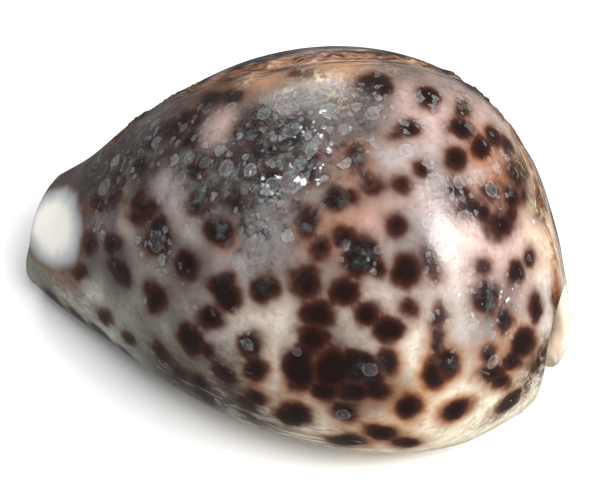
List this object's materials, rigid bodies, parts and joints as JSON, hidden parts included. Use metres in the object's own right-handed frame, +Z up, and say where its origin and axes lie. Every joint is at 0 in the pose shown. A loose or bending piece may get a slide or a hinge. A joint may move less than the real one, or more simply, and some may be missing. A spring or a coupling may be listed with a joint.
{
  "type": "cowrie shell",
  "caption": "Glossy egg-shaped sea snail shell with a domed spotted back, a flat base and a long narrow slit between two toothed lips.",
  "frame": {"origin": "centre of the bounding box in plan, at the height of the flat base it rests on", "axes": "+X along the length, from the narrow front end to the wide rear end; +Y towards the outer lip's side; +Z up, out of the domed back"},
  "size_m": [0.0894, 0.063, 0.0514],
  "materials": {
    "enamel": "glossy"
  },
  "bodies": {
    "root": {"shell": "enamel"}
  },
  "joints": []
}
